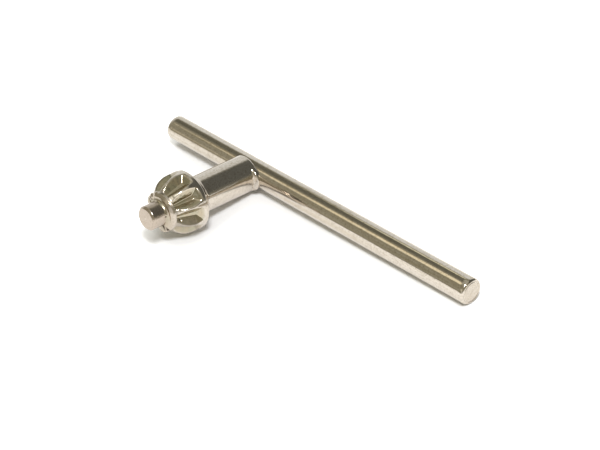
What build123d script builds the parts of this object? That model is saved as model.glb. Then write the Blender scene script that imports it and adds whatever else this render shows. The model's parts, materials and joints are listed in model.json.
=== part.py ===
from build123d import *

import os
from math import asin, atan2, cos, degrees, hypot, radians, sin, tan

# Drill chuck key in millimetres: a toothed body welded square to a round handle bar.
# Stations are measured along the body's axis, from the bar's axis towards the pilot's tip.

# Handle bar
bar_diameter = 8.0
bar_long_side = 93.6
bar_short_side = 37.6
bar_end_chamfer = 0.6
bar_edge_round = 0.15

# Shank and the end that is welded to the bar
# A lip is drawn out of the end, along the bar on its longer side.
shank_diameter = 11.8
shank_end_wrap = 1.5
shank_end_bevel = 0.5
weld_lip_radius = 4.8
weld_lip_reach = 1.6
weld_lip_rise = 0.2
weld_slope_length = 1.2
weld_slope_sink = 0.3

# Collar and shoulder behind the teeth
collar_diameter = 19.0
collar_rear_station = 25.9
collar_rear_round = 0.5
shoulder_angle = 50.0
shoulder_fillet = 0.6

# Domed crest of the teeth
dome_start_station = 28.8
dome_radius = 8.6

# Pilot, and the solid ring between it and the teeth
# The shares are parts of the way out from the pilot's surface to the teeth's front edge.
pilot_diameter = 7.8
pilot_tip_station = 42.8
pilot_chamfer = 0.6
pilot_fillet_share = 0.32
toe_station = 34.9
ring_station = 36.5
ring_share = 0.72
ring_front_station = 37.2
ring_front_share = 0.39
ring_round_share = 0.08

# Tooth spaces, pressed in with closed ends
tooth_count = 9
first_space_angle = 38.5
flank_angle = 50.0
space_rear_station = 29.1
space_front_station = 35.6
root_rear_radius = 7.35
root_front_radius = 5.25
root_rear_width = 1.2
root_front_width = 0.5
space_rear_lean = 52.0
root_round = 0.2

bar_radius = bar_diameter / 2
shank_radius = shank_diameter / 2
collar_radius = collar_diameter / 2
pilot_radius = pilot_diameter / 2
shank_end_station = bar_radius - shank_end_wrap
weld_lip_station = bar_radius + weld_lip_rise


def crest_radius(station):
    """Radius of the tooth crests at a station in front of the collar."""
    reach = station - dome_start_station
    return collar_radius - dome_radius + (dome_radius**2 - reach**2) ** 0.5


toe_radius = crest_radius(toe_station)
toe_height = toe_radius - pilot_radius
ring_radius = pilot_radius + ring_share * toe_height
ring_front_radius = pilot_radius + ring_front_share * toe_height
ring_edge_round = ring_round_share * toe_height
pilot_fillet = pilot_fillet_share * toe_height


def on_axis_plane(radius, station):
    """A point of the body's half section: radius along X, station along Z."""
    return Vector(radius, 0, station)


def handle_bar():
    """The rod along X, longer on the +X side of the body."""
    rod = Cylinder(bar_radius, bar_long_side + bar_short_side, rotation=(0, 90, 0))
    rod = Pos((bar_long_side - bar_short_side) / 2, 0, 0) * rod
    rod = chamfer(rod.edges().filter_by(GeomType.CIRCLE), bar_end_chamfer)
    return fillet(rod.edges().filter_by(GeomType.CIRCLE), bar_edge_round)


def half_section_fillet(half, corner, size):
    """Rounds one corner of the half section."""
    nearest = min(half.vertices(), key=lambda v: (Vector(v) - corner).length)
    return fillet(nearest, size)


def blank():
    """The body turned about Z, before the tooth spaces and the welded end are formed."""
    shoulder_length = (collar_radius - shank_radius) / tan(radians(shoulder_angle))
    middle_station = (dome_start_station + toe_station) / 2
    crest = ThreePointArc(
        on_axis_plane(collar_radius, dome_start_station),
        on_axis_plane(crest_radius(middle_station), middle_station),
        on_axis_plane(toe_radius, toe_station),
    )
    rear = Polyline(
        on_axis_plane(0, weld_lip_station),
        on_axis_plane(shank_radius, weld_lip_station),
        on_axis_plane(shank_radius, collar_rear_station - shoulder_length),
        on_axis_plane(collar_radius, collar_rear_station),
        on_axis_plane(collar_radius, dome_start_station),
    )
    front = Polyline(
        on_axis_plane(toe_radius, toe_station),
        on_axis_plane(ring_radius, ring_station),
        on_axis_plane(ring_front_radius, ring_front_station),
        on_axis_plane(pilot_radius, ring_front_station),
        on_axis_plane(pilot_radius, pilot_tip_station - pilot_chamfer),
        on_axis_plane(pilot_radius - pilot_chamfer, pilot_tip_station),
        on_axis_plane(0, pilot_tip_station),
        on_axis_plane(0, weld_lip_station),
    )
    half = make_face([rear, crest, front])
    corners = (
        (collar_radius, collar_rear_station, collar_rear_round),
        (shank_radius, collar_rear_station - shoulder_length, shoulder_fillet),
        (ring_radius, ring_station, ring_edge_round),
        (ring_front_radius, ring_front_station, ring_edge_round),
        (pilot_radius, ring_front_station, pilot_fillet),
    )
    for radius, station, size in corners:
        half = half_section_fillet(half, on_axis_plane(radius, station), size)
    return revolve(half, Axis.Z)


def root_line(station):
    """Radius and half width of a tooth space's flat root at a station."""
    share = (station - space_rear_station) / (space_front_station - space_rear_station)
    radius = root_rear_radius + share * (root_front_radius - root_rear_radius)
    width = root_rear_width + share * (root_front_width - root_rear_width)
    return radius, width / 2


def space_corner(radius, station, side):
    """A corner of the cutter on the flank plane, which widens outwards from the root."""
    root_radius, root_half = root_line(station)
    half = root_half + (radius - root_radius) * tan(radians(flank_angle))
    return Vector(radius, side * half, station)


def tooth_space():
    """The cutter of one tooth space at +X: flat flanks, a leaning rear wall, an upright front wall."""
    outside = collar_radius + 1
    rear_outer = space_rear_station - (outside - root_rear_radius) / tan(radians(space_rear_lean))
    rear = [(root_rear_radius, space_rear_station), (outside, rear_outer)]
    front = [(root_front_radius, space_front_station), (outside, space_front_station)]
    sections = []
    for (root_radius, root_station), (top_radius, top_station) in (rear, front):
        ring = [
            space_corner(root_radius, root_station, -1),
            space_corner(root_radius, root_station, 1),
            space_corner(top_radius, top_station, 1),
            space_corner(top_radius, top_station, -1),
        ]
        sections.append(make_face(Polyline(*ring, close=True)))
    cutter = loft(sections, ruled=True)
    root_edges = [e for e in cutter.edges() if max(v.X for v in e.vertices()) < root_rear_radius + 0.01]
    return fillet(root_edges, root_round)


def welded_end():
    """The shank's bevelled end and its lip, which slopes back into the shank."""
    flush = shank_radius - weld_lip_radius
    lip = Pos(flush + weld_lip_reach, 0) * Circle(weld_lip_radius)
    sunk = Pos(flush - weld_slope_sink, 0) * Circle(weld_lip_radius)
    rim = Pos(0, 0, shank_end_station) * (Circle(shank_radius) + lip)
    rim = extrude(rim, weld_lip_station - shank_end_station)
    rim = chamfer(rim.faces().sort_by(Axis.Z)[0].edges(), shank_end_bevel)
    slope = loft([Pos(0, 0, weld_lip_station) * lip, Pos(0, 0, weld_lip_station + weld_slope_length) * sunk])
    return rim + slope


def toothed_body():
    """The turned blank with its tooth spaces and its welded end, saddled to the bar."""
    body = blank()
    cutter = tooth_space()
    step = 360 / tooth_count
    for index in range(tooth_count):
        body -= Rot(0, 0, first_space_angle + index * step) * cutter
    body += welded_end()
    saddle = Cylinder(bar_radius, 4 * shank_diameter, rotation=(0, 90, 0))
    return body - saddle


def rest_angles():
    """Rise of the pilot's end and turn of the bar, when three places touch the floor.

    They are the collar's rear rim, the shank's bevelled end and the bar's longer end.
    """
    collar_station = collar_rear_station + collar_rear_round * tan(radians(shoulder_angle / 2))
    collar_centre = collar_radius - collar_rear_round
    end_station = shank_end_station + shank_end_bevel
    apart = collar_station - end_station
    drop = collar_centre - shank_radius
    rise = atan2(drop, apart) + asin(collar_rear_round / hypot(drop, apart))
    axis_height = shank_radius * cos(rise) - end_station * sin(rise)
    bar_reach = bar_long_side - bar_end_chamfer
    slope = asin(axis_height / hypot(bar_reach, bar_radius)) - atan2(bar_radius, bar_reach)
    turn = asin(sin(slope) / cos(rise))
    return degrees(rise), degrees(turn)


def lay_down(shapes):
    """Turns the key onto the floor, with its origin under the middle of its box."""
    rise, turn = rest_angles()
    turned = [Rot(90 - rise, 0, 0) * Rot(0, 0, -turn) * shape for shape in shapes]
    box = turned[0].bounding_box().add(turned[1].bounding_box())
    middle = box.center()
    return [Pos(-middle.X, -middle.Y, -box.min.Z) * shape for shape in turned]


def main():
    os.makedirs("parts", exist_ok=True)
    body, bar = lay_down([toothed_body(), handle_bar()])
    export_step(body, "parts/toothed_body.step")
    export_step(bar, "parts/handle_bar.step")
    rise, turn = rest_angles()
    print("pilot's end rises", round(rise, 3), "degrees, bar turns", round(turn, 3), "degrees")


main()
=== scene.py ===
import json
from math import acos, cos, pi, radians, sin, tan

import bpy
import numpy as np
from mathutils import Euler, Matrix, Vector, noise


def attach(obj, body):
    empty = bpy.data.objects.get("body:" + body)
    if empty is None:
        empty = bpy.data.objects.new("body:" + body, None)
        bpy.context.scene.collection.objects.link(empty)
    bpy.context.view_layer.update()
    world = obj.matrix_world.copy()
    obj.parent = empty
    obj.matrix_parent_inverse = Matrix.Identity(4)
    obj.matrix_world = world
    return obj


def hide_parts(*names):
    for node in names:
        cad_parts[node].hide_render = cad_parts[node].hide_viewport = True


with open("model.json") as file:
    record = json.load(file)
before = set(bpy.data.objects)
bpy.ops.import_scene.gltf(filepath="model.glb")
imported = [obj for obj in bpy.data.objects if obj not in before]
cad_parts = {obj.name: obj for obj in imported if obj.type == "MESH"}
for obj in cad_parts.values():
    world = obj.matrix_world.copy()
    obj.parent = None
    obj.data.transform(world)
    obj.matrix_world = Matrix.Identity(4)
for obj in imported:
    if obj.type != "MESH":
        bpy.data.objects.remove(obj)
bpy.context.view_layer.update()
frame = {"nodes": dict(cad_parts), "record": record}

mm = 0.001

# Camera, read from the photograph's perspective, with its lens in millimetres
camera_place = Vector((0.37870, -0.27467, 0.35973))
camera_turn = Euler((radians(52.579), radians(7.504), radians(47.092)))
camera_lens = 118.0

# Key light: a direction is azimuth from +Y towards +X and elevation, in degrees
key_azimuth, key_elevation = 118, 60
key_distance = 0.9
key_size = 0.2
key_power = 6.2

# Table top, as it is seen and as the plate mirrors it, with a glow where the sky above it is open, which
# dims near the key into a painted shadow; as mirrored, the table is a dimmer painted copy
floor_size = 8.0
floor_paint = (0.93, 0.94, 0.97, 1)
mirrored_floor_paint = (0.75, 0.75, 0.755, 1)
glow_strength, glow_range = 0.6, (0.5, 0.9)
mirrored_glow_strength, mirrored_glow_range = 0.42, (0, 1)
shade_reach = 0.03
shade_samples = 16

# Room round the key, whose far side is +Y, near side -Y and left side -X
room = (0.34, 0.32, 0.24, 1)
pale_wall = (0.84, 0.85, 0.82, 1)

# Soft patches of the room, each over those before it: azimuth, elevation, full and outer radius, colour
room_patches = (
    (20, 25, 30, 50, (0.12, 0.12, 0.105, 1)),  # dark far wall
    (-68, 48, 6, 22, (0.16, 0.155, 0.12, 1)),  # dark wall high on the left
    (-47, 64, 5, 15, (0.45, 0.45, 0.36, 1)),  # dim light above it
    (100, 85, 12, 38, (0.55, 0.54, 0.47, 1)),  # ceiling
    (-48, 6, 18, 30, pale_wall),  # middle of the low pale wall on the left
    (-80, 6, 22, 34, pale_wall),  # its near part
    (-27, 12, 18, 30, pale_wall),  # its far part
    (-28, 31, 6, 15, pale_wall),  # a light place over its far part
    (-133, 11, 3, 9, (0.52, 0.48, 0.37, 1)),  # dim place low on the near left
    (-116, 52, 5, 10, (1.05, 0.95, 0.69, 1)),  # warm lamp high on the left
    (-48.5, 42, 2, 5, (0.95, 0.92, 0.70, 1)),  # small warm lamp on the far left
    (162, 60, 5, 16, (1.3, 1.3, 1.15, 1)),  # bright window high on the near side
    (168, 4, 8, 20, (0.72, 0.71, 0.67, 1)),  # pale place low on the near side
    (-170, 26, 4, 12, (0.85, 0.80, 0.66, 1)),  # warm place on the near side
    (128, 0, 4, 14, (0.75, 0.74, 0.68, 1)),  # pale place low on the near right
)

# Bright nickel; golden or green where it was pressed in, partly the plate's tone and partly painted shade;
# dull on the pilot; near black as painted shade in the pits, in front of the teeth and on the head's
# underside
nickel = (0.72, 0.66, 0.59, 1)
golden_nickel = (0.56, 0.49, 0.37, 1)
green_nickel = (0.50, 0.47, 0.36, 1)
dull_nickel = (0.56, 0.48, 0.41, 1)
burnt = (0.05, 0.04, 0.03, 1)
stain = (0.42, 0.35, 0.27, 1)

# Noise of the plate: cells to a metre, octaves and roughness, then the range of it that counts
cloud_noise, cloud_range = (160.0, 4.0, 0.6), (0.3, 0.7)
speck_noise, speck_range = (1900.0, 3.0, 0.6), (0.50, 0.68)
speck_strength, speck_roughness = 0.55, 0.1
blot_noise, blot_range = (330.0, 6.0, 0.7), (0.50, 0.75)
blot_strength = 0.42

# Plate of the toothed body: its polish is its roughness where it is clean and where it is clouded
body_polish = (0.10, 0.17)
tint_noise, tint_range = (380.0, 2.0, 0.5), (0.42, 0.62)
body_wave_noise = (520.0, 3.0, 0.5)
body_wave_height, unpressed_waviness = 0.12 * mm, 0.25
# Roughness added on the dull pilot and where the painted shade lies
dull_roughness, painted_shade_roughness = 0.08, 0.5

# Plate of the bar, with streaks drawn out along it and rings turned into its end faces
bar_polish = (0.05, 0.11)
streak_stretch, streak_noise = (30, 1400, 1400), (1.0, 2.0, 0.5)
streak_range, streak_roughness = (0.3, 0.7), 0.05
golden_streak_range, golden_streak_strength = (0.45, 0.7), 0.6
bar_wave_noise, bar_waviness = (300.0, 3.0, 0.5), 0.25
bar_wave_height = 0.10 * mm
turning_pitch, turning_strength = 0.6 * mm, 0.35
turning_start_depth, turning_full_depth = 0.05 * mm, 0.02 * mm

# The key's own axes: along the bar's longer side, up, and stations from the bar towards the pilot's tip
pilot_mount_station = 40.2 * mm
bar_end_band = 1.0 * mm

# Handle bar, whose chamfers stand out in the middle by the crown, both sideways and endways
bar_radius = 4.0 * mm
bar_long_side, bar_short_side = 93.59 * mm, 37.59 * mm
bar_end_chamfer, chamfer_crown = 0.6 * mm, 0.07 * mm
face_groove_radius, face_groove_width, face_groove_depth = 3.08 * mm, 0.12 * mm, 0.13 * mm

# Toothed body: shank, shoulder and collar
shank_radius = 5.9 * mm
collar_radius = 9.5 * mm
collar_rear_station = 25.9 * mm
collar_rear_round = 0.5 * mm
shoulder_angle = radians(50)
shoulder_fillet = 0.6 * mm

# Toothed body: domed crest, valley and ring in front of the teeth
dome_start_station = 28.8 * mm
dome_radius = 8.6 * mm
toe_station = 34.9 * mm
valley_radius = 6.4 * mm
valley_station = 35.6 * mm
valley_round = 0.4 * mm
ring_radius = 6.1 * mm
ring_station = 36.5 * mm
ring_round = 0.35 * mm
ring_front_radius = 5.1 * mm
ring_front_station = 37.2 * mm
ring_front_round = 0.28 * mm

# Toothed body: pilot
pilot_radius = 3.9 * mm
pilot_tip_station = 42.8 * mm
pilot_chamfer = 0.6 * mm
pilot_fillet = 0.98 * mm
pilot_edge_round = 0.15 * mm

# Tooth spaces
tooth_count = 9
first_space_angle = radians(38.5)
flank_slope = tan(radians(50))
space_rear_station = 29.1 * mm
space_front_station = 35.6 * mm
root_rear_radius = 7.35 * mm
root_front_radius = 5.25 * mm
root_rear_half = 0.6 * mm
root_front_half = 0.25 * mm
rear_wall_slope = tan(radians(52))
front_wall_slope = tan(radians(80))
root_softness = 0.14 * mm
crest_softness = 0.10 * mm

# Welded end: bevelled rim, and the lip along the bar's longer side
end_station = 2.5 * mm
end_bevel = 0.5 * mm
lip_radius = 3.9 * mm
lip_reach = 1.6 * mm
lip_station = 4.2 * mm
lip_slope_length = 0.65 * mm
lip_softness = 0.5 * mm
lip_fade_reach = 0.4 * mm

# Surface marks: tint of the pressed places, partly the plate's tone and partly painted shade in the tooth
# spaces; a painted reflection in the fillet at the pilot's foot; and the dull pilot
tint_depth = 0.5 * mm
fillet_reflection_tint, fillet_reflection_station, fillet_reflection_length = 0.7, 37.7 * mm, 0.6 * mm
dull_station = 38.0 * mm

# Surface marks: painted shade in the valley in front of the teeth, and painted shade on the head's
# underside
valley_shade_share, valley_shade_station, valley_shade_length = 0.35, 35.65 * mm, 0.4 * mm
underside_shade_peak, underside_shade_angle, underside_shade_half_angle = 0.42, -30, radians(22)
underside_shade_start, underside_shade_end, underside_shade_fade = 29.0 * mm, 36.6 * mm, 1.5 * mm

# Rough lumps on the ring, in degrees and mm: angle, station, height, half angle and half length
ring_lumps = (
    (161, 36.9, 0.75, 12, 0.8),
    (141, 36.8, 0.50, 11, 0.7),
    (118.5, 36.6, 0.28, 9, 0.6),
    (-46, 36.9, 0.30, 7, 0.5),
    (-61, 36.9, 0.65, 8, 0.5),
    (-76, 37.1, 0.95, 8, 0.5),
    (-91, 36.8, 0.85, 8, 0.6),
    (-106, 36.7, 0.50, 8, 0.7),
    (-118, 36.6, 0.60, 11, 0.7),
    (-161.5, 36.6, 0.35, 11, 0.7),
)
lump_grain = 0.7 * mm
lump_roughness = 0.35
lump_lean = 1 / 3
least_lump = 0.02 * mm

# Pits on and beside the ring, darkened inside as painted shade, in degrees and mm: angle, station, half
# width and depth
pits = (
    (-67, 37.45, 0.36, 0.5),
    (-56, 36.75, 0.50, 0.55),
    (-36, 35.35, 0.55, 0.3),
    (-10, 34.4, 0.30, 0.35),
    (8, 38.05, 0.25, 0.22),
    (140, 37.15, 0.22, 0.25),
    (118, 37.4, 0.2, 0.25),
)

# Mesh of the toothed body: columns round it, and rows of its saddle, welded end, crest and rounded edges
columns = 450
saddle_rows = 8
end_rows = 24
crest_rows = 24
round_rows = 7
side_start_station = 6.0 * mm
saddle_tries = 8

# Spacing of the rows in front of the welded end, in mm: up to a station, the step along the section
row_steps = (
    (20.0, 1.5),
    (26.8, 0.25),
    (28.3, 0.4),
    (30.2, 0.11),
    (34.4, 0.19),
    (38.4, 0.1),
    (41.9, 0.6),
    (42.79, 0.09),
    (43.0, 0.7),
)

# Mesh of the bar: columns round it, rows along it and on its chamfers, and rings on its end faces
bar_columns = 144
bar_rows = 60
chamfer_rows = 13
inner_face_radii = (1.0 * mm, 2.0 * mm)
groove_start, groove_end, groove_rows = 2.75 * mm, 3.35 * mm, 22


def unit(vector):
    """The vector with a length of one."""
    return vector / np.linalg.norm(vector)


def smooth_step(low, high, value):
    """Share of the way from low to high, with a soft start and a soft end."""
    share = np.clip((value - low) / (high - low), 0, 1)
    return share * share * (3 - 2 * share)


def soft_min(first, second, width):
    """The lower of two values, rounded where they come within a width of each other."""
    near = np.clip(1 - np.abs(first - second) / width, 0, 1)
    return np.minimum(first, second) - near * near * width / 4


def soft_max(first, second, width):
    """The higher of two values, rounded in the same way."""
    return -soft_min(-first, -second, width)


def hump(value, middle, length):
    """A soft hump of height one round a middle."""
    return np.exp(-((value - middle) / length) ** 2)


def crest_radius(station):
    """Radius of the domed tooth crests at a station in front of the collar."""
    reach = station - dome_start_station
    return collar_radius - dome_radius + (dome_radius**2 - reach**2) ** 0.5


def rounded_path(corners):
    """Path through corners that are given as radius, station and rounding."""
    path = [np.array(corners[0][:2])]
    for before, corner, after in zip(corners, corners[1:], corners[2:]):
        here = np.array(corner[:2])
        rounding = corner[2]
        if rounding == 0:
            path.append(here)
            continue
        back = unit(np.array(before[:2]) - here)
        on = unit(np.array(after[:2]) - here)
        half_opening = acos(np.dot(back, on)) / 2
        centre = here + unit(back + on) * rounding / sin(half_opening)
        first = here + back * rounding / tan(half_opening) - centre
        last = here + on * rounding / tan(half_opening) - centre
        for share in np.linspace(0, 1, round_rows):
            path.append(centre + unit(first * (1 - share) + last * share) * rounding)
    path.append(np.array(corners[-1][:2]))
    return np.array(path)


def resampled(path):
    """Points along the path at the spacing that row_steps gives."""
    lengths = np.concatenate([[0], np.cumsum(np.linalg.norm(np.diff(path, axis=0), axis=1))])
    place = 0.0
    rows = []
    while place < lengths[-1]:
        radius = np.interp(place, lengths, path[:, 0])
        station = np.interp(place, lengths, path[:, 1])
        rows.append((radius, station))
        place += next(step for limit, step in row_steps if station < limit * mm) * mm
    return np.array(rows)


def section():
    """Half section of the turned blank, in front of the welded end."""
    shoulder_length = (collar_radius - shank_radius) / tan(shoulder_angle)
    corners = [
        (shank_radius, side_start_station, 0),
        (shank_radius, collar_rear_station - shoulder_length, shoulder_fillet),
        (collar_radius, collar_rear_station, collar_rear_round),
    ]
    for station in np.linspace(dome_start_station, toe_station, crest_rows):
        corners.append((crest_radius(station), station, 0))
    corners += [
        (valley_radius, valley_station, valley_round),
        (ring_radius, ring_station, ring_round),
        (ring_front_radius, ring_front_station, ring_front_round),
        (pilot_radius, ring_front_station, pilot_fillet),
        (pilot_radius, pilot_tip_station - pilot_chamfer, pilot_edge_round),
        (pilot_radius - pilot_chamfer, pilot_tip_station, pilot_edge_round),
        (0, pilot_tip_station, 0),
    ]
    return resampled(rounded_path(corners))


def space_radius(angle, station):
    """Radius down to which a tooth space is pressed: root, flanks, rear wall and front wall."""
    pitch = 2 * pi / tooth_count
    off = (angle - first_space_angle + pitch / 2) % pitch - pitch / 2
    share = (station - space_rear_station) / (space_front_station - space_rear_station)
    root = root_rear_radius + share * (root_front_radius - root_rear_radius)
    half = root_rear_half + share * (root_front_half - root_rear_half)
    up, across = np.cos(off), np.abs(np.sin(off))
    flank = (root * flank_slope - half) / (flank_slope * up - across)
    rear = (root_rear_radius + (space_rear_station - station) * rear_wall_slope) / up
    front = (root_front_radius + (station - space_front_station) * front_wall_slope) / up
    pressed = soft_max(root / up, flank, root_softness)
    return soft_max(pressed, soft_max(rear, front, root_softness), root_softness)


def angle_off(angle, degrees):
    """Signed angle from a direction given in degrees."""
    return (angle - radians(degrees) + pi) % (2 * pi) - pi


def lump_height(angle, station):
    """Height of the rough lumps on the ring."""
    height = np.zeros(len(angle))
    for degrees, middle, peak, half_angle, half_length in ring_lumps:
        off = angle_off(angle, degrees) / radians(half_angle)
        along = (station - middle * mm) / (half_length * mm)
        height += peak * mm * np.exp(-(off**4) - along**2)
    if height.max() > least_lump:
        grain = [noise.noise(Vector((cos(a) * ring_radius, sin(a) * ring_radius, s)) / lump_grain)
                 for a, s in zip(angle, station)]
        height *= 1 + lump_roughness * np.array(grain)
    return height


def pit_depth(angle, station, radius):
    """Depth of the pits, and how far a place lies inside one."""
    depth, share = np.zeros(len(angle)), np.zeros(len(angle))
    for degrees, middle, half_width, deep in pits:
        across = angle_off(angle, degrees) * radius
        apart = np.hypot(across, station - middle * mm) / (half_width * mm)
        inside = np.exp(-(apart**4))
        depth = np.maximum(depth, deep * mm * inside)
        share = np.maximum(share, inside)
    return depth, share


def underside_shade_share(angle, station):
    """Painted shade on the head's underside, stronger in the middle of its range."""
    around = np.exp(-(angle_off(angle, underside_shade_angle) / underside_shade_half_angle) ** 4)
    starting = smooth_step(underside_shade_start, underside_shade_start + underside_shade_fade, station)
    ending = smooth_step(-underside_shade_end, -underside_shade_end + underside_shade_fade, -station)
    return underside_shade_peak * around * starting * ending


def end_outline(angle, station):
    """Radius of the welded end, with its lip sloping back into the shank."""
    reach = lip_reach * (1 - smooth_step(lip_station, lip_station + lip_slope_length, station))
    centre = shank_radius - lip_radius + reach
    lip = centre * np.cos(angle) + np.sqrt(np.maximum(lip_radius**2 - (centre * np.sin(angle)) ** 2, 0))
    joined = soft_max(lip, shank_radius, lip_softness)
    blend = smooth_step(0, lip_fade_reach, reach)
    bevel = np.clip(end_bevel - (station - end_station), 0, end_bevel)
    return shank_radius + (joined - shank_radius) * blend - bevel


def saddle_station(across):
    """Station of the welded end's back, which fits round the bar."""
    return np.maximum(np.sqrt(np.maximum(bar_radius**2 - across**2, 0)), end_station)


def welded_end_rows(angle):
    """Radii and stations of the rows from the saddle's middle to its rim and along the shank's end."""
    # The rim's radius and its station depend on each other, so they settle over a few tries
    start = np.full(columns, end_station)
    for _ in range(saddle_tries):
        start = saddle_station(end_outline(angle, start) * np.sin(angle))
    rim = end_outline(angle, start)
    rows = []
    for share in np.arange(1, saddle_rows) / saddle_rows:
        rows.append((rim * share, saddle_station(rim * share * np.sin(angle))))
    for share in np.arange(end_rows) / end_rows:
        station = start + (side_start_station - start) * share
        rows.append((end_outline(angle, station), station))
    return rows


def pressed_row(angle, radius, station):
    """One row of the turned blank once it is pressed and worn: radii, stations and surface marks."""
    row = np.full(columns, station)
    surface = soft_min(np.full(columns, radius), space_radius(angle, row), crest_softness)
    lump = lump_height(angle, row)
    pit, inside_pit = pit_depth(angle, row, surface)
    # Painted reflection: a golden tint in the fillet at the pilot's foot
    fillet_reflection_share = fillet_reflection_tint * hump(station, fillet_reflection_station, fillet_reflection_length)
    # Painted shade in the valley in front of the teeth
    valley_shade = valley_shade_share * hump(station, valley_shade_station, valley_shade_length)
    marks = {
        # Golden-green tint where the surface lies below the blank, partly the plate's tone and partly
        # painted shade in the tooth spaces
        "pressed": np.clip((radius - surface) / tint_depth, fillet_reflection_share, 1),
        "dull": np.full(columns, smooth_step(toe_station, dull_station, station)),
        # Painted shade inside the pits, in the valley in front of the teeth and on the head's underside
        "burnt": np.maximum(np.maximum(inside_pit, valley_shade), underside_shade_share(angle, station)),
    }
    return surface + lump - pit, row + lump * lump_lean, marks


def toothed_body_points():
    """Grid of points of the toothed body, from its saddle to its tip, and its surface marks."""
    angle = np.linspace(0, 2 * pi, columns, endpoint=False)
    unmarked = {name: np.zeros(columns) for name in ("pressed", "dull", "burnt")}
    rows = [(*row, unmarked) for row in welded_end_rows(angle)]
    rows += [pressed_row(angle, radius, station) for radius, station in section()]
    radii, stations, marks = zip(*rows)
    radii, stations = np.array(radii), np.array(stations)
    marks = {name: np.array([row[name] for row in marks]) for name in unmarked}
    return np.stack([radii * np.cos(angle), radii * np.sin(angle), stations], axis=2), marks


def bar_end_section(end):
    """Radius and place along the bar of one end: face with a fine groove, crowned chamfer."""
    rows = []
    for radius in (*inner_face_radii, *np.linspace(groove_start, groove_end, groove_rows)):
        groove = face_groove_depth * hump(radius, face_groove_radius, face_groove_width)
        rows.append((radius, end - groove))
    for share in np.linspace(0, 1, chamfer_rows):
        crown = 4 * share * (1 - share) * chamfer_crown
        radius = bar_radius - bar_end_chamfer * (1 - share) + crown
        rows.append((min(radius, bar_radius), end - bar_end_chamfer * share + crown))
    return rows


def handle_bar_points():
    """Grid of points of the bar, from its shorter end to its longer one."""
    longer = bar_end_section(bar_long_side)
    shorter = [(radius, -place) for radius, place in bar_end_section(bar_short_side)]
    side = [(bar_radius, place) for place in np.linspace(-bar_short_side, bar_long_side, bar_rows)[1:-1]]
    angle = np.linspace(0, 2 * pi, bar_columns, endpoint=False)
    rows = [np.stack([np.full(bar_columns, place), radius * np.cos(angle), radius * np.sin(angle)], axis=1)
            for radius, place in shorter + side + longer[::-1]]
    return np.array(rows)


def key_axes():
    """Matrix from the key's own axes, along the bar and towards the pilot's tip, to the frame's."""
    mount = next(m for m in frame["record"]["mounts"] if m["name"] == "pilot")
    tip = Vector(mount["axis"]).normalized()
    origin = Vector(mount["pos_m"]) - tip * pilot_mount_station
    points = np.array([v.co for v in frame["nodes"]["handle_bar"].data.vertices])
    ends = []
    for side in (-1, 1):
        reach = (side * points[:, 0]).max()
        end = points[side * points[:, 0] > reach - bar_end_band]
        ends.append((end.min(axis=0) + end.max(axis=0)) / 2)
    along = Vector(ends[1] - ends[0])
    along = (along - tip * along.dot(tip)).normalized()
    up = tip.cross(along)
    return Matrix.Translation(origin) @ Matrix((along, up, tip)).transposed().to_4x4()


def grid_mesh(name, points, first_pole, last_pole):
    """Closed smooth mesh over rows of a grid that close up sideways, with a pole at each end."""
    rows, across = points.shape[:2]
    corners = [tuple(p) for p in points.reshape(-1, 3)] + [first_pole, last_pole]
    faces = []
    for row in range(rows - 1):
        for column in range(across):
            on = (column + 1) % across
            low, high = row * across, (row + 1) * across
            faces.append((low + column, low + on, high + on, high + column))
    last_row = (rows - 1) * across
    for column in range(across):
        on = (column + 1) % across
        faces.append((rows * across, on, column))
        faces.append((rows * across + 1, last_row + column, last_row + on))
    mesh = bpy.data.meshes.new(name)
    mesh.from_pydata(corners, [], faces)
    mesh.polygons.foreach_set("use_smooth", [True] * len(mesh.polygons))
    mesh.update()
    piece = bpy.data.objects.new(name, mesh)
    bpy.context.collection.objects.link(piece)
    return piece


def toothed_body():
    """The pressed and plated body, which stands for its plain solid."""
    points, marks = toothed_body_points()
    piece = grid_mesh("plated_toothed_body", points, (0, 0, bar_radius), (0, 0, pilot_tip_station))
    for name, rows in marks.items():
        values = np.concatenate([rows.ravel(), [0, 0]])
        piece.data.attributes.new(name, "FLOAT", "POINT").data.foreach_set("value", values)
    piece.data.transform(key_axes())
    piece.data.materials.append(body_metal())
    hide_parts("toothed_body")
    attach(piece, "root")


def handle_bar():
    """The drawn and plated bar, which stands for its plain solid."""
    ends = (-bar_short_side, 0, 0), (bar_long_side, 0, 0)
    piece = grid_mesh("plated_handle_bar", handle_bar_points(), *ends)
    piece.data.transform(key_axes())
    piece.data.materials.append(bar_metal())
    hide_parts("handle_bar")
    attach(piece, "root")


class Nodes:
    """A node tree that is built node by node."""

    def __init__(self, owner):
        owner.use_nodes = True
        self.tree = owner.node_tree
        self.tree.nodes.clear()

    def add(self, kind, inputs=None, **settings):
        """Adds a node, with its settings, and feeds its inputs with sockets or plain values."""
        node = self.tree.nodes.new(kind)
        for name, value in settings.items():
            setattr(node, name, value)
        for name, source in (inputs or {}).items():
            if isinstance(source, bpy.types.NodeSocket):
                self.tree.links.new(source, node.inputs[name])
            else:
                node.inputs[name].default_value = source
        return node


def computed(n, operation, *values):
    """Result of a calculation on sockets and plain numbers."""
    return n.add("ShaderNodeMath", dict(enumerate(values)), operation=operation).outputs[0]


def mapped(n, value, given, wanted=(0, 1), curve="LINEAR"):
    """Lays the given range of a value over a wanted one."""
    low, high = given
    to_low, to_high = wanted
    inputs = {"Value": value, "From Min": low, "From Max": high, "To Min": to_low, "To Max": to_high}
    return n.add("ShaderNodeMapRange", inputs, interpolation_type=curve).outputs["Result"]


def noise_value(n, place, scale, octaves, roughness):
    """Noise with so many cells to a unit of its coordinates."""
    inputs = {"Vector": place, "Scale": scale, "Detail": octaves, "Roughness": roughness}
    return n.add("ShaderNodeTexNoise", inputs).outputs["Fac"]


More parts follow.
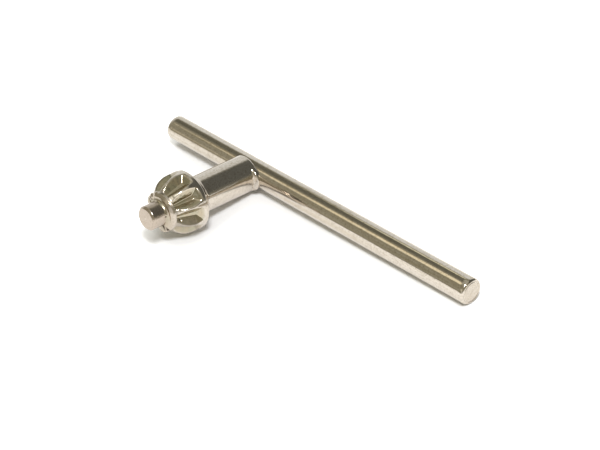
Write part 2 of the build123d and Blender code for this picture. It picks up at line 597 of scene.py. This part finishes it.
def chosen(n, share, below, above):
    """A number between two others, by a share; inputs 2 and 3 are a mix's numbers."""
    return n.add("ShaderNodeMix", {0: share, 2: below, 3: above}, data_type="FLOAT").outputs[0]


def laid_over(n, share, below, above):
    """A colour over another, by a share; inputs 6 and 7 and output 2 are a mix's colours."""
    return n.add("ShaderNodeMix", {0: share, 6: below, 7: above}, data_type="RGBA").outputs[2]


def stretched(n, place, scale):
    """Coordinates scaled by three numbers."""
    inputs = {"Vector": place, "Scale": scale}
    return n.add("ShaderNodeMapping", inputs, vector_type="POINT").outputs["Vector"]


def key_place(n):
    """Coordinates in the key's own axes: along the bar, up, and the station."""
    axes = key_axes()
    place = n.add("ShaderNodeTexCoord").outputs["Object"]
    inputs = {"Vector": place, "Location": axes.to_translation(), "Rotation": axes.to_euler()}
    return n.add("ShaderNodeMapping", inputs, vector_type="TEXTURE").outputs["Vector"]


def plate(n, place, colour, polish, dullness, height, wave_height):
    """Nickel whose polish, stains and fine specks vary from place to place."""
    specks = mapped(n, noise_value(n, place, *speck_noise), speck_range, (0, speck_strength))
    blots = mapped(n, noise_value(n, place, *blot_noise), blot_range, (0, blot_strength))
    colour = laid_over(n, specks, colour, stain)
    colour = laid_over(n, blots, colour, stain)
    rough = mapped(n, noise_value(n, place, *cloud_noise), cloud_range, polish)
    rough = computed(n, "ADD", rough, dullness)
    rough = computed(n, "MULTIPLY_ADD", specks, speck_roughness, rough)
    bump = n.add("ShaderNodeBump", {"Height": height, "Strength": 1.0, "Distance": wave_height})
    inputs = {"Base Color": colour, "Metallic": 1.0, "Roughness": rough, "Normal": bump.outputs["Normal"]}
    skin = n.add("ShaderNodeBsdfPrincipled", inputs)
    n.add("ShaderNodeOutputMaterial", {"Surface": skin.outputs[0]})


def body_metal():
    """Plate of the toothed body: pressed places tinted partly as painted shade, a painted reflection in
    the pilot's fillet, the dull pilot, and painted shade in its pits, in front of its teeth and on its
    underside.
    """
    metal = bpy.data.materials.new("plated_body")
    n = Nodes(metal)
    place = key_place(n)
    pressed, dull, painted_shade_share = (n.add("ShaderNodeAttribute", attribute_name=name).outputs["Fac"]
                              for name in ("pressed", "dull", "burnt"))
    tint = mapped(n, noise_value(n, place, *tint_noise), tint_range)
    tint = laid_over(n, tint, golden_nickel, green_nickel)
    colour = laid_over(n, dull, nickel, dull_nickel)
    # The tint over the pressed places is partly the plate's tone and partly painted shade
    colour = laid_over(n, pressed, colour, tint)
    # Painted shade: near black in the pits, in front of the teeth and on the head's underside
    colour = laid_over(n, painted_shade_share, colour, burnt)
    waviness = mapped(n, pressed, (0, 1), (unpressed_waviness, 1))
    height = computed(n, "MULTIPLY", noise_value(n, place, *body_wave_noise), waviness)
    dull_share = mapped(n, dull, (0, 1), (0, dull_roughness))
    painted_shade_roughness_share = mapped(n, painted_shade_share, (0, 1), (0, painted_shade_roughness))
    dullness = computed(n, "ADD", dull_share, painted_shade_roughness_share)
    plate(n, place, colour, body_polish, dullness, height, body_wave_height)
    return metal


def turning_marks(n, place):
    """Fine rings on the bar's end faces, and nothing elsewhere."""
    from_axis = n.add("ShaderNodeVectorMath", {0: stretched(n, place, (0, 1, 1))}, operation="LENGTH")
    rings = computed(n, "PINGPONG", from_axis.outputs["Value"], turning_pitch / 2)
    rings = mapped(n, rings, (0, turning_pitch / 2), (0, turning_strength))
    along = n.add("ShaderNodeSeparateXYZ", {"Vector": place}).outputs["X"]
    reach = computed(n, "SUBTRACT", along, (bar_long_side - bar_short_side) / 2)
    reach = computed(n, "ABSOLUTE", reach)
    half = (bar_long_side + bar_short_side) / 2
    on_face = mapped(n, reach, (half - turning_start_depth, half - turning_full_depth))
    return computed(n, "MULTIPLY", rings, on_face)


def bar_metal():
    """Plate of the bar, with drawn streaks and the turning marks of its end faces."""
    metal = bpy.data.materials.new("plated_bar")
    n = Nodes(metal)
    place = key_place(n)
    streak = noise_value(n, stretched(n, place, streak_stretch), *streak_noise)
    golden = mapped(n, streak, golden_streak_range, (0, golden_streak_strength))
    colour = laid_over(n, turning_marks(n, place), nickel, stain)
    colour = laid_over(n, golden, colour, golden_nickel)
    streaks = mapped(n, streak, streak_range, (0, streak_roughness))
    waves = mapped(n, noise_value(n, place, *bar_wave_noise), (0, 1), (0, bar_waviness))
    height = computed(n, "ADD", streaks, waves)
    plate(n, place, colour, bar_polish, streaks, height, bar_wave_height)
    return metal


def towards(azimuth, elevation):
    """Unit vector for a direction in the studio."""
    a, e = radians(azimuth), radians(elevation)
    return Vector((sin(a) * cos(e), cos(a) * cos(e), sin(e)))


def studio_world():
    """A dim warm room with a dark far side, pale walls on the left and a light ceiling."""
    world = bpy.data.worlds.new("studio")
    bpy.context.scene.world = world
    n = Nodes(world)
    direction = n.add("ShaderNodeTexCoord").outputs["Generated"]
    colour = room
    for azimuth, elevation, full, outer, patch in room_patches:
        middle = towards(azimuth, elevation)
        nearness = n.add("ShaderNodeVectorMath", {0: direction, 1: middle}, operation="DOT_PRODUCT")
        edge = (cos(radians(outer)), cos(radians(full)))
        share = mapped(n, nearness.outputs["Value"], edge, curve="SMOOTHSTEP")
        colour = laid_over(n, share, colour, patch)
    light = n.add("ShaderNodeBackground", {"Color": colour})
    n.add("ShaderNodeOutputWorld", {"Surface": light.outputs[0]})


def key_light():
    """A square soft box aimed at the middle of the floor."""
    data = bpy.data.lights.new("key", "AREA")
    data.size = key_size
    data.energy = key_power
    box = bpy.data.objects.new("key", data)
    box.location = towards(key_azimuth, key_elevation) * key_distance
    box.rotation_euler = (-box.location).to_track_quat("-Z", "Y").to_euler()
    bpy.context.collection.objects.link(box)


def table_paint():
    """White paint whose glow dims near the key into a painted shadow, over matt shading that keeps the
    object's real shadow; reflections see a dimmer copy.
    """
    paint = bpy.data.materials.new("white table")
    n = Nodes(paint)
    path = n.add("ShaderNodeLightPath")
    in_camera, in_mirror = path.outputs["Is Camera Ray"], path.outputs["Is Glossy Ray"]
    open_sky = n.add("ShaderNodeAmbientOcclusion", {"Distance": shade_reach}, samples=shade_samples)
    open_sky = open_sky.outputs["AO"]
    # The glow dims where the key hides the sky, which paints a shadow round it
    seen_glow = mapped(n, open_sky, glow_range, (0, glow_strength))
    mirrored_glow = mapped(n, open_sky, mirrored_glow_range, (0, mirrored_glow_strength))
    glow = n.add("ShaderNodeEmission", {"Strength": chosen(n, in_mirror, seen_glow, mirrored_glow)})
    colour = laid_over(n, in_mirror, floor_paint, mirrored_floor_paint)
    matt = n.add("ShaderNodeBsdfDiffuse", {"Color": colour})
    both = n.add("ShaderNodeAddShader", {0: matt.outputs[0], 1: glow.outputs[0]})
    looked_at = computed(n, "MAXIMUM", in_camera, in_mirror)
    mix = n.add("ShaderNodeMixShader", {0: looked_at, 1: matt.outputs[0], 2: both.outputs[0]})
    n.add("ShaderNodeOutputMaterial", {"Surface": mix.outputs[0]})
    return paint


def floor():
    """Flat table top under the key."""
    bpy.ops.mesh.primitive_plane_add(size=floor_size)
    table = bpy.context.object
    table.name = "floor"
    table.data.materials.append(table_paint())


def camera():
    """The photograph's camera."""
    data = bpy.data.cameras.new("camera")
    data.lens = camera_lens
    eye = bpy.data.objects.new("camera", data)
    eye.location = camera_place
    eye.rotation_euler = camera_turn
    bpy.context.collection.objects.link(eye)
    bpy.context.scene.camera = eye


studio_world()
key_light()
floor()
toothed_body()
handle_bar()
camera()
bpy.context.scene.view_settings.view_transform = "Standard"
